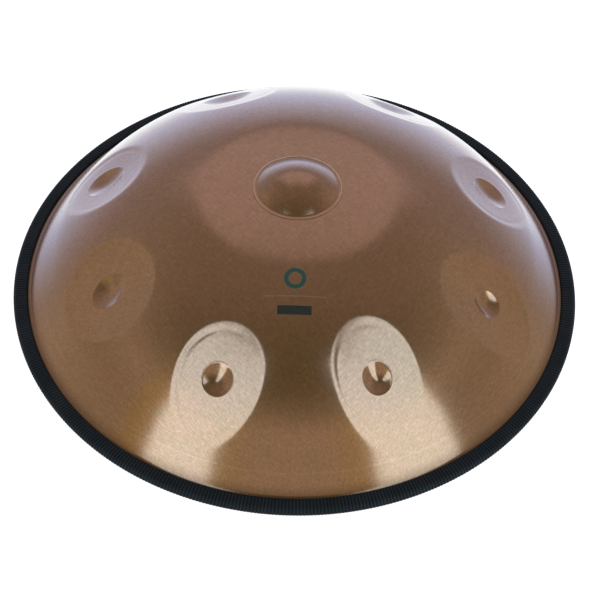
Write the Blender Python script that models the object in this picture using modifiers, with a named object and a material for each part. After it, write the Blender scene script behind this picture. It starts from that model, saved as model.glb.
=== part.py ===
"""A nine-note handpan: two formed steel shells glued rim to rim, with a push-on edge trim over the seam.

Metres, +Z up. The z axis is the axis of the shells, the instrument stands on the flat ring around
its port at z = 0, and -Y is the side of the two highest notes.
"""

import math
from collections import namedtuple

import bmesh
import bpy
from mathutils import Vector
from mathutils.geometry import delaunay_2d_cdt

# Sheet, seam and clearances
SHEET = 0.0010
GLUE_THICKNESS = 0.0008
GAP = 0.0003                 # between pieces that touch on the real object
SEGMENTS = 64                # round steps of every turned piece, so that their facets line up

# The formed shells
FLANGE_RADIUS = 0.272
FOOT_RADIUS = 0.2637         # where the wall would meet the flange without its fillet
FOOT_FILLET = 0.0052
WALL_RADIUS = 0.237          # the domed cap ends and the straight wall begins
WALL_SLOPE = math.radians(53)
DING_DOME_HEIGHT = 0.1285    # crown of the upper shell above its flange, before the notes are formed
GU_DOME_HEIGHT = 0.1215      # the same for the lower shell, before its crown is opened
FLANGE_FACE = GLUE_THICKNESS / 2 + GAP + SHEET   # outer face of either flange, from the seam plane
FILLET_END = FOOT_RADIUS + FOOT_FILLET * math.tan(WALL_SLOPE / 2)
FILLET_START = FILLET_END - FOOT_FILLET * math.sin(WALL_SLOPE)

# The centre note
DING_RADIUS = 0.0385
DING_RISE = 0.0125           # the raised dome above its shoulder
DING_EDGE = 0.03             # softness of the dome's outline, in its radius
DING_FIELD_RADIUS = 0.091
DING_FIELD_DEPTH = 0.0055
DING_FIELD_EDGE = 0.16
DING_RINGS = ((0.4, 8), (0.75, 16), (1.0, 24), (1.12, 24), (1.7, 26))   # share of the radius, points

# The port in the lower shell
REST_RING_OUTER = 0.070
REST_RING_INNER = 0.060
SHOULDER_RADIUS = 0.087      # the dome bends down to the rest ring
PORT_LIP_RADIUS = 0.006
NECK_BEND = (0.0515, 0.015)  # radius, height
NECK_TOP_RADIUS = 0.047
NECK_TOP_HEIGHT = 0.030

# The ring of notes. Distance of the centre from the axis and its bearing from -Y towards +X. Half
# lengths along the slope of the shell and across it, and depth, of the tone field and of its dimple.
Note = namedtuple("Note", "distance bearing along across depth dimple_along dimple_across dimple_depth")
NOTES = (
    Note(0.1985, -19.4, 0.0545, 0.0405, 0.0037, 0.0146, 0.0135, 0.0045),
    Note(0.1964, 22.4, 0.0590, 0.0388, 0.0041, 0.0147, 0.0129, 0.0060),
    Note(0.1935, -62.8, 0.0510, 0.0500, 0.0080, 0.0188, 0.0155, 0.0042),
    Note(0.1992, 63.6, 0.0565, 0.0420, 0.0062, 0.0153, 0.0132, 0.0049),
    Note(0.1991, -106.6, 0.0490, 0.0480, 0.0070, 0.0226, 0.0190, 0.0060),
    Note(0.1990, 106.1, 0.0485, 0.0475, 0.0064, 0.0205, 0.0192, 0.0058),
    Note(0.1922, -156.8, 0.0470, 0.0550, 0.0040, 0.0220, 0.0270, 0.0053),
    Note(0.1988, 151.2, 0.0450, 0.0540, 0.0040, 0.0225, 0.0270, 0.0053),
)
NOTE_SLOPE = math.radians(34)      # of the shell where the notes lie
FIELD_EDGE = 0.06                  # softness of a field's outline, in field half lengths
DIMPLE_EDGE = 0.05
DIMPLE_TILT = 0.6                  # how much deeper a dimple's upper edge is and its lower edge is not
DIMPLE_RINGS = ((0.5, 8), (0.82, 14), (1.0, 18), (1.15, 18))    # share of the half lengths, points
FIELD_RINGS = ((0.7, 16), (1.0, 20), (1.12, 20))
NOTE_CLEARANCE = 1.25              # plain rings stop at this share of a field

# The edge trim, a U profile on a spring steel strip
TRIM_INNER_RADIUS = 0.2652
TRIM_OUTER_RADIUS = 0.280
TRIM_HALF_HEIGHT = 0.0052
TRIM_NOSE_RADIUS = 0.0050
TRIM_LIP_RADIUS = 0.0024
TRIM_JOINT = 0.0008                # the slit where the trim's two ends meet, at the back
JOINT_CUTTER = (TRIM_JOINT, 0.03, 0.02)
STRIP_THICKNESS = 0.0006
STRIP_INNER_RADIUS = 0.2672
STRIP_OUTER_RADIUS = 0.2750
STRIP_HALF_HEIGHT = 0.0038
GLUE_INNER_RADIUS = 0.2654
GLUE_OUTER_RADIUS = 0.2716


def cap_shape(height, edge_radius, edge_slope):
    """Half axes (across, up) and centre height of the ellipse whose cap stands `height` above its edge."""
    run = math.tan(edge_slope) * edge_radius
    cosine = height / (run - height)
    up = height / (1 - cosine)
    return edge_radius / math.sqrt(1 - cosine ** 2), up, height - up


def cap_height(radius, height):
    """Height of a shell's plain dome above its flange: a cap, a straight wall and the foot fillet."""
    if radius >= FILLET_END:
        return 0.0
    if radius > FILLET_START:
        return FOOT_FILLET - math.sqrt(FOOT_FILLET ** 2 - (FILLET_END - radius) ** 2)
    if radius > WALL_RADIUS:
        return math.tan(WALL_SLOPE) * (FOOT_RADIUS - radius)
    wall_top = math.tan(WALL_SLOPE) * (FOOT_RADIUS - WALL_RADIUS)
    across, up, centre = cap_shape(height - wall_top, WALL_RADIUS, WALL_SLOPE)
    return wall_top + centre + up * math.sqrt(1 - (radius / across) ** 2)


def cap_radii(start, count):
    """Radii of `count` rings down the cap, closer where it is steep, then the wall, fillet and flange."""
    cap = [
        start + (WALL_RADIUS - start) * math.sin(math.pi / 2 * step / count) ** 0.9
        for step in range(1, count + 1)
    ]
    wall = [(WALL_RADIUS + FILLET_START) / 2]
    fillet = [FILLET_START + (FILLET_END - FILLET_START) * step / 3 for step in range(4)]
    return cap + wall + fillet + [FLANGE_RADIUS]


def soft_inside(distance_squared, softness):
    """1 - q^2 inside an outline and 0 outside it, with a rounded crease at the outline itself."""
    inside = 1 - distance_squared
    return (inside + math.sqrt(inside ** 2 + softness ** 2)) / 2


def note_frame(note):
    """A note's centre and its plan directions, outward from the axis and across."""
    bearing = math.radians(note.bearing)
    outward = Vector((math.sin(bearing), -math.cos(bearing)))
    across = Vector((math.cos(bearing), math.sin(bearing)))
    return outward * note.distance, outward, across


def note_coordinates(point, note):
    """Distances from a note's centre, along the slope of the shell and across it, of a plan point."""
    centre, outward, across = note_frame(note)
    return (point - centre).dot(outward) / math.cos(NOTE_SLOPE), (point - centre).dot(across)


def note_offset(point, note):
    """How far one note moves the shell: a flattened field with a dimple that is deeper on its upper side."""
    along, side = note_coordinates(point, note)
    field = soft_inside((along / note.along) ** 2 + (side / note.across) ** 2, FIELD_EDGE)
    dimple = soft_inside((along / note.dimple_along) ** 2 + (side / note.dimple_across) ** 2, DIMPLE_EDGE)
    tilt = 1 - DIMPLE_TILT * max(-1.0, min(1.0, along / note.dimple_along))
    return -note.depth * field - note.dimple_depth * tilt * dimple


def ding_shell_height(point):
    """Height of the upper shell's outer face above the seam plane at a plan point."""
    radius = point.length
    height = FLANGE_FACE + cap_height(radius, DING_DOME_HEIGHT)
    height -= DING_FIELD_DEPTH * soft_inside((radius / DING_FIELD_RADIUS) ** 2, DING_FIELD_EDGE)
    height += DING_RISE * soft_inside((radius / DING_RADIUS) ** 2, DING_EDGE)
    return height + sum(note_offset(point, note) for note in NOTES)


def ellipse_points(centre, first, second, count):
    """Plan points of an ellipse, given its two half axes as vectors."""
    turns = [2 * math.pi * step / count for step in range(count)]
    return [centre + first * math.cos(turn) + second * math.sin(turn) for turn in turns]


def ding_shell_points():
    """Plan points of the upper shell, and the outlines that have to be edges: rings on the centre note,
    on every note and down the plain dome between them."""
    points, outlines = [Vector((0, 0))], []

    def add_ring(ring, is_outline=False):
        start = len(points)
        points.extend(ring)
        if is_outline:
            outlines.extend((start + i, start + (i + 1) % len(ring)) for i in range(len(ring)))

    origin, east, north = Vector((0, 0)), Vector((1, 0)), Vector((0, 1))
    for share, count in DING_RINGS:
        size = DING_RADIUS * share
        add_ring(ellipse_points(origin, east * size, north * size, count), share == 1.0)
    edge = DING_FIELD_RADIUS
    add_ring(ellipse_points(origin, east * edge, north * edge, SEGMENTS // 2))
    shorten = math.cos(NOTE_SLOPE)
    for note in NOTES:
        centre, outward, across = note_frame(note)
        points.append(centre)
        for share, count in DIMPLE_RINGS:
            along = outward * (note.dimple_along * shorten * share)
            add_ring(ellipse_points(centre, along, across * (note.dimple_across * share), count), share == 1.0)
        for share, count in FIELD_RINGS:
            along = outward * (note.along * shorten * share)
            add_ring(ellipse_points(centre, along, across * (note.across * share), count))
    for radius in cap_radii(DING_FIELD_RADIUS * 1.15, 9):
        is_foot = radius >= FILLET_START
        ring = ellipse_points(origin, east * radius, north * radius, SEGMENTS)
        add_ring([point for point in ring if is_foot or is_plain_dome(point)], is_foot)
    return points, outlines


def is_plain_dome(point):
    """Whether a plan point is clear of every tone field."""
    for note in NOTES:
        along, side = note_coordinates(point, note)
        if (along / note.along) ** 2 + (side / note.across) ** 2 < NOTE_CLEARANCE ** 2:
            return False
    return True


def new_collection(name):
    collection = bpy.data.collections.new(name)
    bpy.context.scene.collection.children.link(collection)
    return collection


def material(name, colour, metallic, roughness):
    made = bpy.data.materials.new(name)
    made.use_nodes = True
    shader = made.node_tree.nodes["Principled BSDF"]
    shader.inputs["Base Color"].default_value = (*colour, 1)
    shader.inputs["Metallic"].default_value = metallic
    shader.inputs["Roughness"].default_value = roughness
    return made


def add_object(name, vertices, edges, faces, collection):
    mesh = bpy.data.meshes.new(name)
    mesh.from_pydata(vertices, edges, faces)
    made = bpy.data.objects.new(name, mesh)
    collection.objects.link(made)
    return made


def turned(name, profile, closed, collection):
    """A profile of (radius, height) points turned round the z axis by a Screw modifier."""
    edges = [(i, i + 1) for i in range(len(profile) - 1)]
    if closed:
        edges.append((len(profile) - 1, 0))
    made = add_object(name, [(radius, 0, height) for radius, height in profile], edges, [], collection)
    screw = made.modifiers.new("turn", "SCREW")
    screw.axis = "Z"
    screw.steps = screw.render_steps = SEGMENTS
    screw.use_merge_vertices = True
    screw.merge_threshold = 0.00001
    screw.use_smooth_shade = True
    return made


def thicken(made):
    """Gives an open outer face the sheet's thickness, inwards."""
    solidify = made.modifiers.new("sheet", "SOLIDIFY")
    solidify.thickness = SHEET
    solidify.offset = -1


def arc(centre, radius, start, end, steps):
    """Points of an arc from one angle to another, in degrees, in the (radius, height) plane."""
    angles = [math.radians(start + (end - start) * step / steps) for step in range(steps + 1)]
    return [(centre[0] + radius * math.cos(a), centre[1] + radius * math.sin(a)) for a in angles]


def subtract(made, cutter):
    cut = made.modifiers.new(cutter.name, "BOOLEAN")
    cut.operation = "DIFFERENCE"
    cut.object = cutter


def hide_cutter(cutter):
    cutter.hide_render = True
    cutter.display_type = "WIRE"


def make_ding_shell(collection, seam_height, steel):
    points, outlines = ding_shell_points()
    flat, _, faces, *_ = delaunay_2d_cdt(points, outlines, [], 0, 1e-7)
    vertices = [(p.x, p.y, seam_height + ding_shell_height(p)) for p in flat]
    shell = add_object("ding_shell", vertices, [], faces, collection)
    mesh = bmesh.new()
    mesh.from_mesh(shell.data)
    bmesh.ops.recalc_face_normals(mesh, faces=mesh.faces)
    if sum(face.normal.z for face in mesh.faces) < 0:
        bmesh.ops.reverse_faces(mesh, faces=mesh.faces)
    mesh.to_mesh(shell.data)
    mesh.free()
    shell.data.shade_smooth()
    thicken(shell)
    shell.data.materials.append(steel)
    return shell


def make_gu_shell(collection, seam_height, steel):
    """The lower shell: flange, dome, the flat ring it rests on and the neck turned in at the port."""
    flange_height = seam_height - FLANGE_FACE
    radii = [SHOULDER_RADIUS] + cap_radii(SHOULDER_RADIUS, 7)
    profile = [(radius, flange_height - cap_height(radius, GU_DOME_HEIGHT)) for radius in reversed(radii)]
    profile.append((REST_RING_OUTER, 0))
    profile += arc((REST_RING_INNER, PORT_LIP_RADIUS), PORT_LIP_RADIUS, -90, -180, 3)
    profile += [NECK_BEND, (NECK_TOP_RADIUS, NECK_TOP_HEIGHT)]
    shell = turned("gu_shell", profile, False, collection)
    thicken(shell)
    shell.data.materials.append(steel)
    return shell


def make_seam_adhesive(collection, seam_height, glue):
    """The bead between the flanges, with a slight squeeze-out inside."""
    half = GLUE_THICKNESS / 2
    profile = [
        (GLUE_OUTER_RADIUS, half), (GLUE_OUTER_RADIUS, -half),
        (GLUE_INNER_RADIUS, -half), (GLUE_INNER_RADIUS - half, 0), (GLUE_INNER_RADIUS, half),
    ]
    bead = turned(
        "seam_adhesive", [(radius, seam_height + height) for radius, height in profile], True, collection
    )
    bead.data.materials.append(glue)
    return bead


def u_profile(inner, outer, half_height, wall, seam_height):
    """A U section that opens towards the axis, drawn down its outer side."""
    mouth = half_height - wall
    corners = (
        (inner, half_height), (outer, half_height), (outer, -half_height), (inner, -half_height),
        (inner, -mouth), (outer - wall, -mouth), (outer - wall, mouth), (inner, mouth),
    )
    return [(radius, seam_height + height) for radius, height in corners]


def make_edge_trim(collection, cutters, seam_height, rubber):
    """The rubber U profile, hollow where the strip lies and slit where its ends meet."""
    groove_half = FLANGE_FACE + GAP
    groove_floor = FLANGE_RADIUS + GAP
    lip = (TRIM_INNER_RADIUS + TRIM_LIP_RADIUS, TRIM_HALF_HEIGHT - TRIM_LIP_RADIUS)
    nose = (TRIM_OUTER_RADIUS - TRIM_NOSE_RADIUS, TRIM_HALF_HEIGHT - TRIM_NOSE_RADIUS)
    upper = arc(lip, TRIM_LIP_RADIUS, 180, 90, 2) + arc(nose, TRIM_NOSE_RADIUS, 90, 0, 4)
    lower = [(radius, -height) for radius, height in reversed(upper)]
    groove = [
        (TRIM_INNER_RADIUS, -groove_half), (groove_floor, -groove_half),
        (groove_floor, groove_half), (TRIM_INNER_RADIUS, groove_half),
    ]
    profile = [(radius, seam_height + height) for radius, height in upper + lower + groove]
    trim = turned("edge_trim", profile, True, collection)
    hollow = turned(
        "strip_hollow",
        u_profile(
            STRIP_INNER_RADIUS - GAP, STRIP_OUTER_RADIUS + GAP, STRIP_HALF_HEIGHT + GAP,
            STRIP_THICKNESS + 2 * GAP, seam_height,
        ),
        True, cutters,
    )
    hide_cutter(hollow)
    subtract(trim, hollow)
    trim.data.materials.append(rubber)
    return trim


def make_trim_strip(collection, seam_height, spring_steel):
    profile = u_profile(
        STRIP_INNER_RADIUS, STRIP_OUTER_RADIUS, STRIP_HALF_HEIGHT, STRIP_THICKNESS, seam_height
    )
    strip = turned("trim_strip", profile, True, collection)
    strip.data.materials.append(spring_steel)
    return strip


def make_joint_cutter(cutters, seam_height):
    """A thin block across the trim at the back, for the slit between its ends."""
    mesh = bpy.data.meshes.new("trim_joint")
    block = bmesh.new()
    bmesh.ops.create_cube(block, size=1)
    bmesh.ops.scale(block, vec=JOINT_CUTTER, verts=block.verts)
    block.to_mesh(mesh)
    block.free()
    cutter = bpy.data.objects.new("trim_joint", mesh)
    cutter.location = (0, FLANGE_RADIUS, seam_height)
    cutters.objects.link(cutter)
    hide_cutter(cutter)
    return cutter


def main():
    for obj in list(bpy.data.objects):
        bpy.data.objects.remove(obj)
    parts = new_collection("handpan")
    cutters = new_collection("cutters")
    seam_height = FLANGE_FACE + cap_height(REST_RING_OUTER, GU_DOME_HEIGHT)

    make_ding_shell(parts, seam_height, material("bronze_steel", (0.42, 0.27, 0.17), 1.0, 0.34))
    make_gu_shell(parts, seam_height, material("bronze_steel_lower", (0.42, 0.27, 0.17), 1.0, 0.36))
    make_seam_adhesive(parts, seam_height, material("glue", (0.03, 0.03, 0.03), 0.0, 0.6))
    trim = make_edge_trim(parts, cutters, seam_height, material("rubber", (0.02, 0.025, 0.035), 0.0, 0.5))
    strip = make_trim_strip(parts, seam_height, material("spring_steel", (0.5, 0.5, 0.52), 1.0, 0.4))
    joint = make_joint_cutter(cutters, seam_height)
    subtract(trim, joint)
    subtract(strip, joint)


main()
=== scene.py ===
"""Looks of the handpan: fine meshes of its shells and its trim, and procedural finishes.

Metres, +Z up, in the frame of the CAD model. The shapes of the shells and of the trim repeat the
formulas of the CAD source, so that each fine mesh lies where its CAD solid is.
"""

import math
from collections import namedtuple

import bpy
import numpy as np
from mathutils import Matrix, Vector
from mathutils.geometry import delaunay_2d_cdt

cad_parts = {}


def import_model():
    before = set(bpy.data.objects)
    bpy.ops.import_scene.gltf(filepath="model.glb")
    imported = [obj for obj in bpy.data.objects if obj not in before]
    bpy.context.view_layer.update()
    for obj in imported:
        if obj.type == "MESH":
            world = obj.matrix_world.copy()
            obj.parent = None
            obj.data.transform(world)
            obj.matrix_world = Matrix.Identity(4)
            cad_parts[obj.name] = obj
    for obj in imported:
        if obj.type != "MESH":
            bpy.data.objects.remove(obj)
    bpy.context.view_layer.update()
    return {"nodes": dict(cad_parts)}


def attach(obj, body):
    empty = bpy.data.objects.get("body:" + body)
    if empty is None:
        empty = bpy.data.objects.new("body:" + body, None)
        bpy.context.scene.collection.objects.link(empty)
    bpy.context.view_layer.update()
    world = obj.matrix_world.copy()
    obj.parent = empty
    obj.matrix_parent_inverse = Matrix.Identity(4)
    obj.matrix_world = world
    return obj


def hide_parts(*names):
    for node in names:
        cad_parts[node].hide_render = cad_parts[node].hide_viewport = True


# ---- Dimensions of the CAD source ----

SHEET = 0.0010
GLUE_THICKNESS = 0.0008
GAP = 0.0003
FLANGE_RADIUS = 0.272
FOOT_RADIUS = 0.2637
FOOT_FILLET = 0.0052
WALL_RADIUS = 0.237
WALL_SLOPE = math.radians(53)
DING_DOME_HEIGHT = 0.1285
GU_DOME_HEIGHT = 0.1215
FLANGE_FACE = GLUE_THICKNESS / 2 + GAP + SHEET

DING_RADIUS = 0.0385
DING_RISE = 0.0125
DING_EDGE = 0.03
DING_FIELD_RADIUS = 0.091
DING_FIELD_DEPTH = 0.0055
DING_FIELD_EDGE = 0.16

REST_RING_OUTER = 0.070
REST_RING_INNER = 0.060
PORT_LIP_RADIUS = 0.006
NECK_TOP_RADIUS = 0.047
NECK_TOP_HEIGHT = 0.030

Note = namedtuple("Note", "distance bearing along across depth dimple_along dimple_across dimple_depth")
NOTES = (
    # place of the centre, then half axes and depth of the tone field and of its dimple
    Note(0.1985, -19.4, 0.0545, 0.0405, 0.0037, 0.0146, 0.0135, 0.0045),
    Note(0.1964, 22.4, 0.0590, 0.0388, 0.0041, 0.0147, 0.0129, 0.0060),
    Note(0.1935, -62.8, 0.0510, 0.0500, 0.0080, 0.0188, 0.0155, 0.0042),
    Note(0.1992, 63.6, 0.0565, 0.0420, 0.0062, 0.0153, 0.0132, 0.0049),
    Note(0.1991, -106.6, 0.0490, 0.0480, 0.0070, 0.0226, 0.0190, 0.0060),
    Note(0.1990, 106.1, 0.0485, 0.0475, 0.0064, 0.0205, 0.0192, 0.0058),
    Note(0.1922, -156.8, 0.0470, 0.0550, 0.0040, 0.0220, 0.0270, 0.0053),
    Note(0.1988, 151.2, 0.0450, 0.0540, 0.0040, 0.0225, 0.0270, 0.0053),
)
NOTE_SLOPE = math.radians(34)
FIELD_EDGE = 0.06
DIMPLE_TILT = 0.6
DIMPLE_EDGE = 0.05

TRIM_INNER_RADIUS = 0.2652
TRIM_OUTER_RADIUS = 0.280
TRIM_HALF_HEIGHT = 0.0052
TRIM_NOSE_RADIUS = 0.0050
TRIM_LIP_RADIUS = 0.0024

# ---- Fine shapes that the CAD source leaves out ----

LIP_WIDTH = 0.0007                # of the beads round the ding and the dimples
DING_LIP_RADIUS = 0.0412
DING_LIP_HEIGHT = 0.00045
DIMPLE_LIP_DISTANCE = 0.0008      # from the dimple's outline
DIMPLE_LIP_HEIGHT = 0.00012
CONTOUR_SHARE = 0.86              # a faint hammered groove inside a tone field's outline
CONTOUR_WIDTH = 0.055
CONTOUR_DEPTH = 0.00023
LOWER_BEND_RADIUS = 0.080         # where the lower dome starts to bend into its rest ring
RIB_COUNT = 560                   # fine ribs across the skin of the trim
RIB_DEPTH = 0.0004

# ---- Fineness of the meshes here ----

OUTER_SPACING = 0.0013       # between plan points on the outer face's notes
INNER_SPACING = 0.0026       # and on the inner face's
LIP_SPACING = 0.0003         # between the rings over a bead
LIP_START = 0.0015           # how far inside its outline they begin
LIP_CLEARANCE = 0.0018       # how far inside it the plain rings end
DIMPLE_LIP_REACH = 0.0035    # how far outside it they end
DING_LIP_REACH = 0.0055
FOOT_STEPS = 8               # over the fillet of a shell's foot
ROUND_STEPS = 256            # round the shells
RIB_STEPS = 4                # mesh steps to a rib


# ---- Shape of the shells ----

FILLET_END = FOOT_RADIUS + FOOT_FILLET * math.tan(WALL_SLOPE / 2)
FILLET_START = FILLET_END - FOOT_FILLET * math.sin(WALL_SLOPE)


def cap_shape(height, edge_radius, edge_slope):
    """Half axes (across, up) and centre height of the ellipse whose cap stands `height` above its edge."""
    run = math.tan(edge_slope) * edge_radius
    cosine = height / (run - height)
    up = height / (1 - cosine)
    return edge_radius / math.sqrt(1 - cosine ** 2), up, height - up


def cap_height(radius, height):
    """Height of a shell's plain dome above its flange: a cap, a straight wall and the foot fillet."""
    fall = math.tan(WALL_SLOPE)
    wall = fall * (FOOT_RADIUS - radius)
    wall_top = fall * (FOOT_RADIUS - WALL_RADIUS)
    across, up, centre = cap_shape(height - wall_top, WALL_RADIUS, WALL_SLOPE)
    cap = wall_top + centre + up * np.sqrt(1 - (np.minimum(radius, WALL_RADIUS) / across) ** 2)
    into_fillet = np.clip(FILLET_END - radius, 0, FOOT_FILLET)
    fillet = FOOT_FILLET - np.sqrt(FOOT_FILLET ** 2 - into_fillet ** 2)
    return np.where(radius < WALL_RADIUS, cap, np.where(radius < FILLET_START, wall, fillet))


def soft_inside(distance_squared, softness):
    """1 - q^2 inside an outline and 0 outside it, with a rounded crease at the outline itself."""
    inside = 1 - distance_squared
    return (inside + np.sqrt(inside ** 2 + softness ** 2)) / 2


def lip(distance, height):
    """A low bead along an outline, by the distance from its crest."""
    return height * np.exp(-(distance / LIP_WIDTH) ** 2)


def hammered_contour(along, side):
    """Depth of the groove that the tuning hammer leaves inside a field, by shares of the field's size."""
    turn = np.arctan2(side, along)
    strength = 0.75 + 0.50 * np.cos(turn + 0.9) + 0.2 * np.sin(5 * turn)
    from_line = np.hypot(along, side) - CONTOUR_SHARE - 0.025 * np.sin(3 * turn + 1)
    return CONTOUR_DEPTH * strength * np.exp(-(from_line / CONTOUR_WIDTH) ** 2)


def note_coordinates(x, y, note):
    """Distances from a note's centre, along the slope of the shell and across it."""
    bearing = math.radians(note.bearing)
    out_x, out_y = math.sin(bearing), -math.cos(bearing)
    from_x, from_y = x - note.distance * out_x, y - note.distance * out_y
    along = (from_x * out_x + from_y * out_y) / math.cos(NOTE_SLOPE)
    return along, -from_x * out_y + from_y * out_x


def note_offset(x, y, note):
    """How far one note moves the shell at plan points: a flattened field with a dimple that is deeper
    on its upper side and has a bead round it."""
    along, side = note_coordinates(x, y, note)
    field = soft_inside((along / note.along) ** 2 + (side / note.across) ** 2, FIELD_EDGE)
    contour = hammered_contour(along / note.along, side / note.across)
    share = (along / note.dimple_along) ** 2 + (side / note.dimple_across) ** 2
    tilt = 1 - DIMPLE_TILT * np.clip(along / note.dimple_along, -1, 1)
    dimple = tilt * soft_inside(share, DIMPLE_EDGE)
    bead = lip((np.sqrt(share) - 1) * note.dimple_across - DIMPLE_LIP_DISTANCE, DIMPLE_LIP_HEIGHT)
    return bead - contour - note.depth * field - note.dimple_depth * dimple


def ding_shell_height(x, y):
    """Height of the upper shell's outer face above the seam plane at plan points."""
    radius = np.hypot(x, y)
    height = FLANGE_FACE + cap_height(radius, DING_DOME_HEIGHT)
    height = height - DING_FIELD_DEPTH * soft_inside((radius / DING_FIELD_RADIUS) ** 2, DING_FIELD_EDGE)
    height = height + DING_RISE * soft_inside((radius / DING_RADIUS) ** 2, DING_EDGE)
    height = height + lip(radius - DING_LIP_RADIUS, DING_LIP_HEIGHT)
    return height + sum(note_offset(x, y, note) for note in NOTES)


SEAM_HEIGHT = FLANGE_FACE + float(cap_height(np.array(REST_RING_OUTER), GU_DOME_HEIGHT))


def surface_normals(x, y):
    """Unit normals of the upper shell's outer face at plan points."""
    step = 1e-5
    slope_x = (ding_shell_height(x + step, y) - ding_shell_height(x - step, y)) / (2 * step)
    slope_y = (ding_shell_height(x, y + step) - ding_shell_height(x, y - step)) / (2 * step)
    normals = np.stack([-slope_x, -slope_y, np.ones_like(x)], axis=1)
    return normals / np.linalg.norm(normals, axis=1)[:, None]


# ---- Plan points of the upper shell ----

def spaced(start, end, spacing):
    """Values from start up to but without end, about `spacing` apart."""
    count = max(1, round((end - start) / spacing))
    return [start + (end - start) * step / count for step in range(count)]


def ellipse_ring(centre, first, second, spacing):
    """Plan points of an ellipse given by its half axes, about `spacing` apart."""
    perimeter = math.pi * (np.linalg.norm(first) + np.linalg.norm(second))
    count = max(8, 4 * round(perimeter / spacing / 4))
    turns = np.arange(count) * (2 * math.pi / count)
    return centre + np.outer(np.cos(turns), first) + np.outer(np.sin(turns), second)


def crease_shares(reach, count):
    """Shares of an outline on both sides of it, crowded where its crease turns."""
    steps = np.linspace(-1, 1, 2 * count + 1)
    return list(1 + reach * np.sign(steps) * np.abs(steps) ** 1.8)


def lip_shares(size, reach):
    """Shares of an outline from just inside its edge to just outside the bead round it."""
    return [1 + distance / size for distance in spaced(-LIP_START, reach, LIP_SPACING)]


def round_steps(radius, spacing):
    return min(ROUND_STEPS, max(8, 8 * round(2 * math.pi * radius / spacing / 8)))


def circle(radius, count):
    turns = np.arange(count) * (2 * math.pi / count)
    return np.stack([radius * np.cos(turns), radius * np.sin(turns)], axis=1)


def outside_notes(points, margin):
    """The plan points that are clear of every tone field by a share of its size."""
    clear = np.ones(len(points), bool)
    for note in NOTES:
        along, side = note_coordinates(points[:, 0], points[:, 1], note)
        clear &= (along / note.along) ** 2 + (side / note.across) ** 2 > margin ** 2
    return points[clear]


def note_rings(note, spacing):
    """Rings of plan points over one note: its dimple, its field and their creases."""
    bearing = math.radians(note.bearing)
    outward = np.array([math.sin(bearing), -math.cos(bearing)])
    across = np.array([math.cos(bearing), math.sin(bearing)])
    centre = outward * note.distance
    rings = [centre[None, :]]
    shares = spaced(0.10, 1 - LIP_CLEARANCE / note.dimple_across, spacing / note.dimple_across)
    shares += lip_shares(note.dimple_across, DIMPLE_LIP_REACH)
    for share in shares:
        along = outward * (note.dimple_along * share * math.cos(NOTE_SLOPE))
        rings.append(ellipse_ring(centre, along, across * (note.dimple_across * share), spacing))
    reach = 1 + DIMPLE_LIP_REACH / note.dimple_across
    first = reach * max(note.dimple_across / note.across, note.dimple_along / note.along) + 0.03
    shares = spaced(first, 0.87, 1.6 * spacing / note.across) + crease_shares(0.13, 7)
    for share in shares:
        along = outward * (note.along * share * math.cos(NOTE_SLOPE))
        rings.append(ellipse_ring(centre, along, across * (note.across * share), 1.8 * spacing))
    return rings


def ding_shell_plan(spacing):
    """All plan points of the upper shell. The last ring is the flange's edge."""
    rings = [np.zeros((1, 2))]
    shares = spaced(0.06, 1 - LIP_CLEARANCE / DING_RADIUS, 2 * spacing / DING_RADIUS)
    shares += lip_shares(DING_RADIUS, DING_LIP_REACH)
    radii = [DING_RADIUS * share for share in shares]
    radii += spaced(DING_RADIUS + 0.006, DING_FIELD_RADIUS * 0.86, 2 * spacing)
    radii += [DING_FIELD_RADIUS * share for share in crease_shares(0.13, 6)]
    rings += [circle(radius, round_steps(radius, 1.8 * spacing)) for radius in radii]
    for note in NOTES:
        rings += note_rings(note, spacing)
    for radius in spaced(DING_FIELD_RADIUS * 1.15, FILLET_START, 3 * spacing):
        rings.append(outside_notes(circle(radius, round_steps(radius, 3 * spacing)), 1.17))
    foot = spaced(FILLET_START, FILLET_END, FOOT_FILLET / FOOT_STEPS)
    flange = spaced(FILLET_END, FLANGE_RADIUS, 0.002)
    rings += [circle(radius, ROUND_STEPS) for radius in foot + flange + [FLANGE_RADIUS]]
    return np.concatenate(rings)


def triangulate(points):
    """Delaunay triangles over plan points, facing up; the points keep their order."""
    flat, _, faces, sources, *_ = delaunay_2d_cdt([Vector(point) for point in points], [], [], 0, 1e-8)
    kept = [source[0] for source in sources]
    order = np.array(kept)
    triangles = order[np.array(faces)]
    corners = points[triangles]
    first, second = corners[:, 1] - corners[:, 0], corners[:, 2] - corners[:, 0]
    clockwise = first[:, 0] * second[:, 1] - first[:, 1] * second[:, 0] < 0
    triangles[clockwise] = triangles[clockwise][:, ::-1]
    return triangles


# ---- Meshes ----

def add_mesh(name, vertices, faces, normals=None):
    mesh = bpy.data.meshes.new(name)
    mesh.from_pydata(np.asarray(vertices).tolist(), [], [list(face) for face in faces])
    mesh.shade_smooth()
    if normals is not None:
        mesh.normals_split_custom_set_from_vertices(np.asarray(normals).tolist())
    piece = bpy.data.objects.new(name, mesh)
    bpy.context.scene.collection.objects.link(piece)
    return piece


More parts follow.
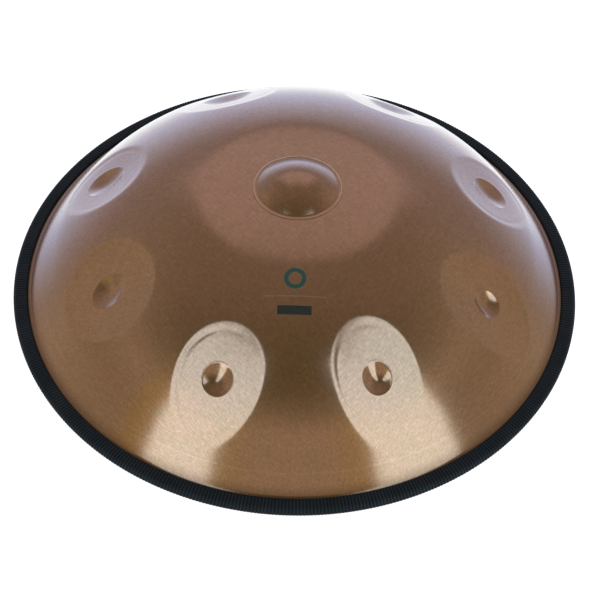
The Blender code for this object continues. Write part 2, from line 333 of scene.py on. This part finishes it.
def make_upper_shell():
    """The upper shell: a fine outer face, a coarser inner face one sheet below and the flange's edge."""
    outer, inner = ding_shell_plan(OUTER_SPACING), ding_shell_plan(INNER_SPACING)
    outer_normals, inner_normals = surface_normals(*outer.T), surface_normals(*inner.T)
    outer_points = np.column_stack([outer, SEAM_HEIGHT + ding_shell_height(*outer.T)])
    inner_points = np.column_stack([inner, SEAM_HEIGHT + ding_shell_height(*inner.T)]) - SHEET * inner_normals
    count = len(outer)
    top = range(count - ROUND_STEPS, count)
    bottom = range(count + len(inner) - ROUND_STEPS, count + len(inner))
    edge = [
        (bottom[i], bottom[(i + 1) % ROUND_STEPS], top[(i + 1) % ROUND_STEPS], top[i])
        for i in range(ROUND_STEPS)
    ]
    faces = triangulate(outer).tolist() + (triangulate(inner)[:, ::-1] + count).tolist() + edge
    return add_mesh(
        "upper_shell", np.concatenate([outer_points, inner_points]), faces,
        np.concatenate([outer_normals, -inner_normals]),
    )


def lathe(name, profile, steps, change=None):
    """A closed profile of (radius, height) points turned round the z axis. `change` gives how far each
    point of the profile moves, outwards and up, at each turn."""
    turns = np.arange(steps) * (2 * math.pi / steps)
    rings = len(profile)
    placed = np.repeat(np.array(profile)[:, :, None], steps, axis=2)
    if change is not None:
        placed = placed + change(turns)
    radii, heights = placed[:, 0], placed[:, 1]
    vertices = np.stack([radii * np.cos(turns), radii * np.sin(turns), heights], axis=2).reshape(-1, 3)
    index = np.arange(rings * steps).reshape(rings, steps)
    below, beside = np.roll(index, -1, axis=0), np.roll(index, -1, axis=1)
    corner = np.roll(below, -1, axis=1)
    faces = np.stack([index, below, corner, beside], axis=2).reshape(-1, 4)
    return add_mesh(name, vertices, faces)


def arc(centre, radius, start, end, steps):
    """Points of an arc from one angle to another, in degrees, in the (radius, height) plane."""
    angles = [math.radians(start + (end - start) * step / steps) for step in range(steps + 1)]
    return [(centre[0] + radius * math.cos(a), centre[1] + radius * math.sin(a)) for a in angles]


def bezier(start, first, second, end, steps):
    """Points of a cubic curve, without its start."""
    points = []
    for step in range(1, steps + 1):
        t = step / steps
        weights = ((1 - t) ** 3, 3 * t * (1 - t) ** 2, 3 * t ** 2 * (1 - t), t ** 3)
        corners = (start, first, second, end)
        points.append(tuple(sum(w * c[i] for w, c in zip(weights, corners)) for i in (0, 1)))
    return points


def offset_profile(profile, distance):
    """An open profile moved to its right by a distance."""
    points = np.array(profile)
    along = np.gradient(points, axis=0)
    along /= np.linalg.norm(along, axis=1)[:, None]
    return points + distance * np.column_stack([-along[:, 1], along[:, 0]])


def make_lower_shell():
    """The lower shell: flange, dome, the ring it rests on and the neck turned in at the port."""
    flange_height = SEAM_HEIGHT - FLANGE_FACE
    radii = [FLANGE_RADIUS, 0.267] + spaced(FILLET_END, FILLET_START, FOOT_FILLET / FOOT_STEPS)
    radii += spaced(FILLET_START, LOWER_BEND_RADIUS, 0.004) + [LOWER_BEND_RADIUS]
    heights = flange_height - cap_height(np.array(radii), GU_DOME_HEIGHT)
    profile = list(zip(radii, heights.tolist()))
    start = profile[-1]
    profile += bezier(start, (0.0755, start[1] * 0.35), (0.0725, 0), (REST_RING_OUTER - 0.001, 0), 8)
    profile += arc((REST_RING_INNER, PORT_LIP_RADIUS), PORT_LIP_RADIUS, -90, -160, 8)
    end = profile[-1]
    neck_top = (NECK_TOP_RADIUS, NECK_TOP_HEIGHT)
    profile += bezier(end, (0.0525, 0.012), (NECK_TOP_RADIUS + 0.0012, 0.020), neck_top, 10)
    inside = offset_profile(profile, -SHEET)
    inside[0] = (FLANGE_RADIUS, flange_height + SHEET)
    closed = profile + [tuple(point) for point in inside[::-1]]
    return lathe("lower_shell", closed, ROUND_STEPS)


def trim_skin():
    """The outside of the trim's section, from its upper lip round the nose to its lower lip."""
    lip_centre = (TRIM_INNER_RADIUS + TRIM_LIP_RADIUS, TRIM_HALF_HEIGHT - TRIM_LIP_RADIUS)
    nose_centre = (TRIM_OUTER_RADIUS - TRIM_NOSE_RADIUS, TRIM_HALF_HEIGHT - TRIM_NOSE_RADIUS)
    top_run = spaced(lip_centre[0] + 0.003, nose_centre[0] - 0.002, 0.003)
    upper = arc(lip_centre, TRIM_LIP_RADIUS, 180, 90, 5) + [(radius, TRIM_HALF_HEIGHT) for radius in top_run]
    upper += arc(nose_centre, TRIM_NOSE_RADIUS, 90, 0, 6)
    return upper + [(radius, -height) for radius, height in reversed(upper)]


def make_trim():
    """The rubber edge trim: a U section with a round nose and fine ribs across its skin."""
    groove_half = FLANGE_FACE + GAP
    groove_floor = FLANGE_RADIUS + GAP
    mouth = TRIM_INNER_RADIUS + 0.0003
    groove = [
        (TRIM_INNER_RADIUS, -groove_half - 0.0003), (mouth, -groove_half), (groove_floor, -groove_half),
        (groove_floor, groove_half), (mouth, groove_half), (TRIM_INNER_RADIUS, groove_half + 0.0003),
    ]
    profile = np.array([(radius, SEAM_HEIGHT + height) for radius, height in trim_skin() + groove])
    middle = np.array([(TRIM_INNER_RADIUS + TRIM_OUTER_RADIUS) / 2, SEAM_HEIGHT])
    inwards = middle - profile
    inwards /= np.linalg.norm(inwards, axis=1)[:, None]
    inwards[-len(groove):] = 0

    def ribs(turns):
        valley = np.cos(turns * RIB_COUNT / 2) ** 2
        return RIB_DEPTH * inwards[:, :, None] * valley

    return lathe("ribbed_edge_trim", profile, RIB_COUNT * RIB_STEPS, ribs)


# ---- Materials ----

class Graph:
    """The nodes of a material or of the world, made by short calls."""

    def __init__(self, owner):
        owner.use_nodes = True
        self.owner = owner
        self.tree = owner.node_tree
        self.shader = self.tree.nodes.get("Principled BSDF") or self.tree.nodes["Background"]

    def node(self, kind, inputs=(), **settings):
        node = self.tree.nodes.new("ShaderNode" + kind)
        for name, value in settings.items():
            setattr(node, name, value)
        for socket, value in dict(inputs).items():
            self.put(node.inputs[socket], value)
        return node

    def add(self, kind, inputs=(), **settings):
        return self.node(kind, inputs, **settings).outputs[0]

    def put(self, socket, value):
        if isinstance(value, bpy.types.NodeSocket):
            self.tree.links.new(value, socket)
        else:
            socket.default_value = value

    def shade(self, **inputs):
        for name, value in inputs.items():
            self.put(self.shader.inputs[name.replace("_", " ").title().replace("Ior", "IOR")], value)

    def place(self, output="Object"):
        return self.node("TexCoord").outputs[output]

    def split(self, vector):
        return self.node("SeparateXYZ", {0: vector}).outputs

    def length(self, vector):
        return self.node("VectorMath", {0: vector}, operation="LENGTH").outputs["Value"]

    def math(self, operation, first, second=0.0, third=0.0, clamp=False):
        return self.add("Math", {0: first, 1: second, 2: third}, operation=operation, use_clamp=clamp)

    def between(self, value, low, high):
        """0 below `low`, 1 above `high`, smooth between them."""
        inputs = {"Value": value, "From Min": low, "From Max": high}
        return self.add("MapRange", inputs, interpolation_type="SMOOTHSTEP")

    def within(self, value, low, high, edge):
        """1 between two limits, 0 outside them, smooth over `edge`."""
        rising = self.between(value, low - edge / 2, low + edge / 2)
        falling = self.between(value, high - edge / 2, high + edge / 2)
        return self.math("MULTIPLY", rising, self.math("SUBTRACT", 1.0, falling))

    def noise(self, vector, scale, detail=2.0, roughness=0.5):
        inputs = {"Vector": vector, "Scale": scale, "Detail": detail, "Roughness": roughness}
        return self.add("TexNoise", inputs)

    def mix(self, share, first, second, blend="MIX"):
        node = self.node("Mix", data_type="RGBA", blend_type=blend)
        for socket, value in zip((0, 6, 7), (share, first, second)):
            self.put(node.inputs[socket], value)
        return node.outputs[2]

    def darken(self, tone, level):
        """A tone times a level, the same in all three channels."""
        grey = self.add("CombineColor", {0: level, 1: level, 2: level})
        return self.mix(1.0, tone, grey, "MULTIPLY")


def new_material(name):
    return Graph(bpy.data.materials.new(name))


def rgb(red, green, blue):
    return (red, green, blue, 1.0)


BRONZE = rgb(0.500, 0.305, 0.190)
BRONZE_RED = rgb(0.530, 0.310, 0.200)
BRONZE_OLIVE = rgb(0.450, 0.300, 0.165)
# painted shade: the dark tone laid round a shell's foot, standing in for the trim's shadow and its mirrored
# image
PAINTED_FOOT_SHADE = rgb(0.110, 0.062, 0.040)
PAINTED_FOOT_SHADE_RADII = (0.2605, 0.2675)        # the band at the foot of a shell, darkened and dulled as painted shade and painted reflection of the dark trim
RUBBED = rgb(0.950, 0.700, 0.480)
SCRIBED_RADII = (0.2498, 0.2506)      # a fine line round the wall
RUBBER_DARK = rgb(0.0080, 0.0120, 0.0165)
RUBBER_PALE = rgb(0.0120, 0.0160, 0.0215)
PRINT_TEAL = rgb(0.004, 0.055, 0.045)
PRINT_BLACK = rgb(0.004, 0.012, 0.014)

PRINT_RING = (0.0, -0.1062)           # centre of the printed ring on the upper shell
PRINT_RING_RADII = (0.0058, 0.0102)
PRINT_LINE = (-0.1230, 0.0014, 0.0560)   # centre, thickness and length of the fine printed line
PRINT_BAR = (-0.1355, 0.0085, 0.0310)


def brushed_place(graph, place, along, across):
    """Coordinates that stretch a noise round the axis of the shells."""
    x, y, z = graph.split(place)
    flat = graph.add("CombineXYZ", {"X": x, "Y": y})
    turn = graph.split(graph.add("VectorMath", {0: flat}, operation="NORMALIZE"))
    down_slope = graph.math("SUBTRACT", graph.length(flat), z)
    parts = {
        "X": graph.math("MULTIPLY", turn[0], along),
        "Y": graph.math("MULTIPLY", turn[1], along),
        "Z": graph.math("MULTIPLY", down_slope, across),
    }
    return graph.add("CombineXYZ", parts)


def hatching(graph, place, turned):
    """Short fine strokes of the sheet's own grain, in one direction."""
    stroke = {"Vector": place, "Rotation": (0, 0, turned), "Scale": (1 / 140, 1 / 1300, 1 / 400)}
    return graph.noise(graph.add("Mapping", stroke, vector_type="TEXTURE"), 1.0, 2.0, 0.6)


def printed_mark(graph, place):
    """A plain ring, a fine line and a bar: where they are, as (teal, black) shares."""
    x, y, _ = graph.split(place)
    from_ring = graph.add("CombineXYZ", {"X": x, "Y": graph.math("SUBTRACT", y, PRINT_RING[1])})
    ring = graph.within(graph.length(from_ring), *PRINT_RING_RADII, 0.0006)
    shares = []
    for middle, thickness, length in (PRINT_LINE, PRINT_BAR):
        across = graph.within(y, middle - thickness / 2, middle + thickness / 2, 0.0006)
        along = graph.within(x, -length / 2, length / 2, 0.0006)
        shares.append(graph.math("MULTIPLY", across, along))
    fine = graph.math("MULTIPLY", shares[0], 0.35)
    return ring, graph.math("MAXIMUM", fine, shares[1])


def tinted_sheet(graph, place, mottle, grain):
    """The colour of the tinted sheet: cloudy and mottled, and darker in its grain."""
    cloud = graph.noise(place, 9.0, 3.0, 0.55)
    tone = graph.mix(graph.between(cloud, 0.35, 0.65), BRONZE, BRONZE_RED)
    olive = graph.math("MULTIPLY", graph.between(mottle, 0.4, 0.75), 0.4)
    tone = graph.mix(olive, tone, BRONZE_OLIVE)
    return graph.darken(tone, grain)


def rubbed_lines(graph, radius):
    """Share of the tint rubbed off: most of it on the ding's bead, a little along the scribed line."""
    bead = graph.within(radius, DING_LIP_RADIUS - 0.0006, DING_LIP_RADIUS + 0.0007, 0.0006)
    line = graph.within(radius, *SCRIBED_RADII, 0.0007)
    return graph.math("MULTIPLY_ADD", line, 0.10, graph.math("MULTIPLY", bead, 0.60))


def bronze_steel(name, with_print):
    """Bronze-tinted stainless steel, brushed and polished fairly bright, under a clear film."""
    graph = new_material(name)
    place = graph.place()
    brushing = graph.noise(brushed_place(graph, place, 20.0, 3000.0), 1.0, 1.0, 0.5)
    strokes = graph.math("MULTIPLY", hatching(graph, place, 0.9), hatching(graph, place, -0.7))
    mottle = graph.noise(place, 60.0, 4.0, 0.6)
    grain = graph.math("MULTIPLY_ADD", strokes, 1.4, graph.math("MULTIPLY_ADD", brushing, 0.10, 0.60))
    tone = tinted_sheet(graph, place, mottle, grain)
    x, y, _ = graph.split(place)
    radius = graph.length(graph.add("CombineXYZ", {"X": x, "Y": y}))
    # painted shade and painted reflection: the foot of the shell is darkened here in place of the trim's
    # shadow and mirrored image
    painted_foot_shade = graph.within(radius, *PAINTED_FOOT_SHADE_RADII, 0.0100)
    tone = graph.mix(graph.math("MULTIPLY", painted_foot_shade, 0.6), tone, PAINTED_FOOT_SHADE)
    tone = graph.mix(rubbed_lines(graph, radius), tone, RUBBED)
    rough = graph.math("MULTIPLY_ADD", mottle, 0.05, 0.12)
    rough = graph.math("MULTIPLY_ADD", brushing, 0.03, rough)
    metal = 1.0
    if with_print:
        teal, black = printed_mark(graph, place)
        tone = graph.mix(teal, tone, PRINT_TEAL)
        tone = graph.mix(black, tone, PRINT_BLACK)
        ink = graph.math("MAXIMUM", teal, black)
        metal = graph.math("SUBTRACT", 1.0, ink)
        rough = graph.math("MULTIPLY_ADD", ink, 0.2, rough)
    graph.shade(base_color=tone, metallic=metal, roughness=rough)
    # the clear film thins under the painted shade at the foot
    film = graph.math("MULTIPLY_ADD", painted_foot_shade, -0.6, 1.0)
    graph.shade(coat_weight=film, coat_roughness=0.22, coat_ior=1.5)
    height = graph.math("MULTIPLY_ADD", brushing, 0.15, strokes)
    graph.shade(normal=graph.add("Bump", {"Height": height, "Strength": 0.12, "Distance": 0.00005}))
    return graph.owner


def trim_rubber():
    """Blue-black rubber with a fine grain, with painted highlight on the crests of its ribs and painted shade
    in their valleys.
    """
    graph = new_material("trim_rubber")
    place = graph.place()
    grain = graph.noise(place, 1400.0, 3.0, 0.6)
    patch = graph.noise(place, 40.0, 3.0, 0.5)
    x, y, _ = graph.split(place)
    turn = graph.math("MULTIPLY", graph.math("ARCTAN2", y, x), RIB_COUNT)
    # painted highlight and shade: the ribs' crests are paler and more specular, and their valleys are darker
    painted_rib_light = graph.math("MULTIPLY_ADD", graph.math("COSINE", turn), -0.35, 0.85)
    tone = graph.mix(graph.between(patch, 0.35, 0.7), RUBBER_DARK, RUBBER_PALE)
    tone = graph.darken(tone, painted_rib_light)
    graph.shade(base_color=tone, roughness=graph.math("MULTIPLY_ADD", grain, 0.2, 0.42))
    graph.shade(specular_ior_level=graph.math("MULTIPLY", painted_rib_light, 0.30))
    graph.shade(specular_tint=rgb(0.75, 0.90, 1.0))
    graph.shade(normal=graph.add("Bump", {"Height": grain, "Strength": 0.3, "Distance": 0.00012}))
    return graph.owner


def adhesive():
    """Dark squeezed-out glue, a little lumpy."""
    graph = new_material("adhesive")
    lumps = graph.noise(graph.place(), 220.0, 3.0, 0.5)
    tone = graph.mix(lumps, rgb(0.02, 0.02, 0.02), rgb(0.045, 0.043, 0.04))
    graph.shade(base_color=tone, roughness=graph.math("MULTIPLY_ADD", lumps, 0.3, 0.35))
    graph.shade(normal=graph.add("Bump", {"Height": lumps, "Strength": 0.4, "Distance": 0.0003}))
    return graph.owner


def spring_steel():
    """Bare rolled strip, drawn along its length."""
    graph = new_material("spring_steel")
    stretched = graph.add("Mapping", {"Vector": graph.place(), "Scale": (30, 30, 2500)})
    lines = graph.noise(stretched, 1.0, 2.0, 0.5)
    tone = graph.mix(lines, rgb(0.36, 0.37, 0.39), rgb(0.56, 0.57, 0.58))
    graph.shade(base_color=tone, metallic=1.0, roughness=graph.math("MULTIPLY_ADD", lines, 0.2, 0.25))
    return graph.owner


def light_table():
    """White acrylic that glows from below, so that the object casts hardly any shadow."""
    graph = new_material("light_table")
    fibre = graph.noise(graph.place(), 300.0, 3.0, 0.5)
    tone = graph.mix(fibre, rgb(0.84, 0.84, 0.85), rgb(0.87, 0.87, 0.88))
    graph.shade(base_color=tone, roughness=0.9, specular_ior_level=0.1)
    graph.shade(emission_color=rgb(0.96, 1.0, 1.08), emission_strength=0.80)
    return graph.owner


def set_material(piece, finish):
    piece.data.materials.clear()
    piece.data.materials.append(finish)


# ---- Studio ----

CAMERA_DISTANCE = 1.400
CAMERA_ELEVATION = math.radians(48.82)
CAMERA_ROLL = math.radians(1.845)
CAMERA_AIM = Vector((0.0054, -0.0194, -0.0170))      # from the centre of the seam plane
CAMERA_LENS = 83.58                                  # for a sensor 36 mm wide

STRIP_DISTANCE = 1.25
STRIP_AZIMUTHS = (-37.0, 42.3)                       # from the front towards +X
STRIP_WIDTHS = (0.49, 0.62)
STRIP_TOP = 2.60
STRIP_RADIANCE = (0.92, 1.31, 1.70)

OVERHEAD_FRONT = rgb(0.152, 0.130, 0.062)
OVERHEAD_BACK = rgb(0.262, 0.216, 0.174)
LEVEL_FRONT = rgb(0.43, 0.37, 0.29)
LEVEL_BACK = rgb(0.33, 0.285, 0.285)
HAZE = rgb(0.34, 0.51, 0.91)                         # added low down behind
HIGH_PATCH = rgb(0.20, 0.175, 0.21)                  # added high up behind
TABLE_GLOW = rgb(0.44, 0.42, 0.10)                   # added below the horizon behind
GOLD_TINT = rgb(1.05, 0.97, 0.48)                    # multiplied beside the strip lamps
SIDE_TINT = rgb(0.80, 0.80, 0.76)                    # multiplied low down at the sides

FLOOR_HALF = 12.0


def make_camera():
    data = bpy.data.cameras.new("camera")
    data.lens = CAMERA_LENS
    data.sensor_width = 36
    camera = bpy.data.objects.new("camera", data)
    bpy.context.scene.collection.objects.link(camera)
    seam_centre = Vector((0, 0, SEAM_HEIGHT))
    back = Vector((0, -math.cos(CAMERA_ELEVATION), math.sin(CAMERA_ELEVATION)))
    place = seam_centre + back * CAMERA_DISTANCE
    look = seam_centre + CAMERA_AIM - place
    turn = look.to_track_quat("-Z", "Y").to_matrix().to_4x4() @ Matrix.Rotation(CAMERA_ROLL, 4, "Z")
    camera.matrix_world = Matrix.Translation(place) @ turn
    bpy.context.scene.camera = camera


def add_area_light(name, place, aim, size, radiance):
    """A rectangular lamp of a given radiance."""
    data = bpy.data.lights.new(name, "AREA")
    data.shape = "RECTANGLE"
    data.size, data.size_y = size
    brightest = max(radiance)
    data.energy = brightest * math.pi * size[0] * size[1]
    data.color = [value / brightest for value in radiance]
    lamp = bpy.data.objects.new(name, data)
    lamp.location = place
    lamp.rotation_euler = (Vector(aim) - Vector(place)).to_track_quat("-Z", "Y").to_euler()
    lamp.visible_camera = False
    bpy.context.scene.collection.objects.link(lamp)
    return lamp


def make_lights():
    middle = STRIP_TOP / 2 + 0.02
    for azimuth, width in zip(STRIP_AZIMUTHS, STRIP_WIDTHS):
        turn = math.radians(azimuth)
        place = (STRIP_DISTANCE * math.sin(turn), -STRIP_DISTANCE * math.cos(turn), middle)
        add_area_light(f"strip_{azimuth}", place, (0, 0, middle), (width, STRIP_TOP), STRIP_RADIANCE)
    top = add_area_light("overhead", (0, 0.2, 2.4), (0, 0, 0), (2.0, 2.0), (1.0, 1.0, 1.0))
    top.visible_glossy = False


def make_world():
    """The room that the metal mirrors: warm and dim, darkest overhead in front, golden beside the strip
    lamps and lilac low down behind, with a pinkish patch high up behind. `around` is -1 straight in front
    and 1 straight behind, and `height` is -1 below and 1 overhead."""
    world = bpy.data.worlds.new("studio")
    bpy.context.scene.world = world
    graph = Graph(world)
    x, y, height = graph.split(graph.place("Generated"))
    around = graph.math("DIVIDE", y, graph.length(graph.add("CombineXYZ", {"X": x, "Y": y})))
    overhead = graph.mix(graph.between(y, -0.45, 0.30), OVERHEAD_FRONT, OVERHEAD_BACK)
    level = graph.mix(graph.between(y, 0.2, 0.7), LEVEL_FRONT, LEVEL_BACK)
    colour = graph.mix(graph.between(height, 0.42, 0.88), level, overhead)
    low = graph.math("SUBTRACT", 1.0, graph.between(height, -0.12, 0.40))
    haze = graph.math("MULTIPLY", low, graph.between(around, 0.42, 0.97))
    colour = graph.mix(haze, colour, HAZE, "ADD")
    patch = graph.math("MULTIPLY", graph.within(height, 0.50, 0.88, 0.16), graph.between(around, 0.80, 0.93))
    colour = graph.mix(patch, colour, HIGH_PATCH, "ADD")
    lit_height = graph.within(height, 0.0, 0.72, 0.25)
    beside_strips = graph.math("MULTIPLY", lit_height, graph.within(around, -0.93, -0.46, 0.14))
    colour = graph.mix(beside_strips, colour, GOLD_TINT, "MULTIPLY")
    side_height = graph.within(height, 0.0, 0.42, 0.30)
    dark_sides = graph.math("MULTIPLY", side_height, graph.within(around, -0.50, 0.18, 0.30))
    colour = graph.mix(dark_sides, colour, SIDE_TINT, "MULTIPLY")
    down = graph.math("SUBTRACT", 1.0, graph.between(height, -0.42, -0.08))
    table = graph.math("MULTIPLY", down, graph.between(around, 0.75, 0.97))
    colour = graph.mix(table, colour, TABLE_GLOW, "ADD")
    graph.shade(color=colour)


def make_floor():
    half = FLOOR_HALF
    corners = [(-half, -half, 0), (half, -half, 0), (half, half, 0), (-half, half, 0)]
    mesh = bpy.data.meshes.new("floor")
    mesh.from_pydata(corners, [], [(0, 1, 2, 3)])
    floor = bpy.data.objects.new("floor", mesh)
    bpy.context.scene.collection.objects.link(floor)
    set_material(floor, light_table())
    floor.visible_glossy = False


def main():
    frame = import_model()
    bpy.context.scene.view_settings.view_transform = "Standard"

    for make, finish, node, slot in (
        (make_upper_shell, bronze_steel("bronze_steel", True), "ding_shell", "bronze_steel"),
        (make_lower_shell, bronze_steel("bronze_steel_lower", False), "gu_shell", "bronze_steel_lower"),
        (make_trim, trim_rubber(), "edge_trim", "trim_rubber"),
    ):
        piece = make()
        set_material(piece, finish)
        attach(piece, "root")
        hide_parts(node)
        piece.visible_glossy = slot != "trim_rubber"
    for node, finish in (("seam_adhesive", adhesive()), ("trim_strip", spring_steel())):
        set_material(frame["nodes"][node], finish)
        frame["nodes"][node].visible_glossy = False

    make_floor()
    make_world()
    make_lights()
    make_camera()


main()
